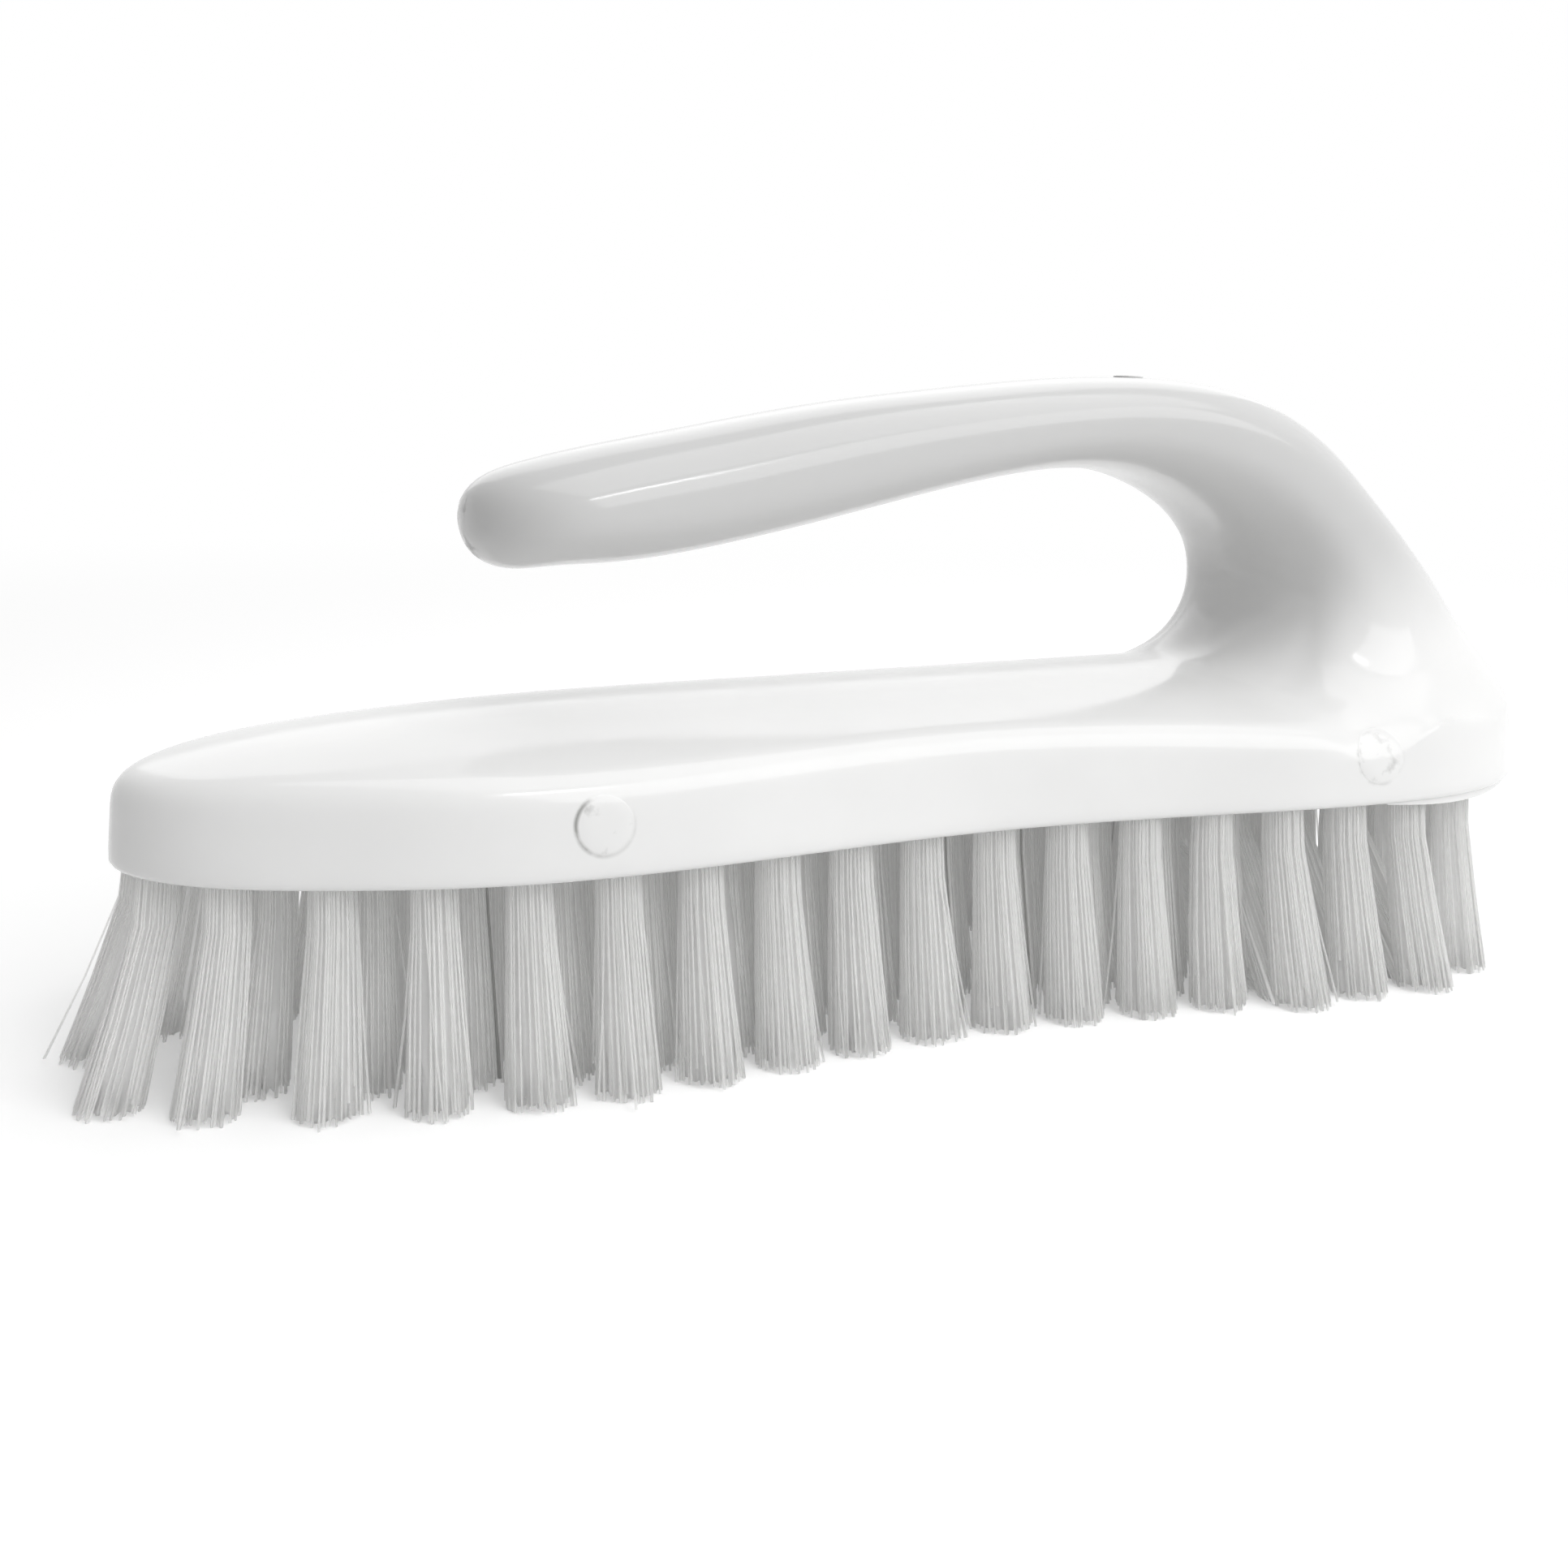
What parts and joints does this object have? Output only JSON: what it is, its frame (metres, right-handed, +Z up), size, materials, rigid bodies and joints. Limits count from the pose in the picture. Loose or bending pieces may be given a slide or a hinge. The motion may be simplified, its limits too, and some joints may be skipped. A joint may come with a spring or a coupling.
{
  "type": "scrub brush",
  "caption": "Hand scrub brush: a waisted moulded block with an open hook handle rising from its heel, its flat underside set with stiff stapled bristle tufts.",
  "frame": {"origin": "middle of the brush's length and width, on the plane of the trimmed bristle tips", "axes": "+X from the toe to the heel along the brush, +Y across it, +Z up from the bristle tips to the handle"},
  "size_m": [0.1895, 0.0644, 0.0761],
  "materials": {
    "moulding": "glossy white injection-moulded polypropylene with faint ejector marks",
    "bristle": "translucent white crimp-free polymer filament, flat trimmed",
    "anchor_wire": "flat galvanised steel wire, cut to length"
  },
  "bodies": {
    "root": {"anchors_centre": "anchor_wire", "anchors_outer_far": "anchor_wire", "anchors_outer_near": "anchor_wire", "anchors_second_far": "anchor_wire", "anchors_second_near": "anchor_wire", "anchors_third_far": "anchor_wire", "anchors_third_near": "anchor_wire", "brush_block": "moulding", "tuft_row_01": "bristle", "tuft_row_02": "bristle", "tuft_row_03": "bristle", "tuft_row_04": "bristle", "tuft_row_05": "bristle", "tuft_row_06": "bristle", "tuft_row_07": "bristle", "tuft_row_08": "bristle", "tuft_row_09": "bristle", "tuft_row_10": "bristle", "tuft_row_11": "bristle", "tuft_row_12": "bristle", "tuft_row_13": "bristle", "tuft_row_14": "bristle", "tuft_row_15": "bristle", "tuft_row_16": "bristle", "tuft_row_17": "bristle", "tuft_row_18": "bristle", "tuft_row_19": "bristle", "tuft_row_20": "bristle", "tuft_row_21": "bristle", "tuft_row_22": "bristle", "tuft_row_23": "bristle", "tuft_row_24": "bristle", "tuft_row_25": "bristle", "tuft_row_26": "bristle", "tuft_row_27": "bristle", "tuft_row_28": "bristle", "tuft_row_29": "bristle", "tuft_row_30": "bristle", "tuft_row_31": "bristle", "tuft_row_32": "bristle", "tuft_row_33": "bristle", "tuft_row_34": "bristle", "tuft_row_35": "bristle"}
  },
  "joints": []
}
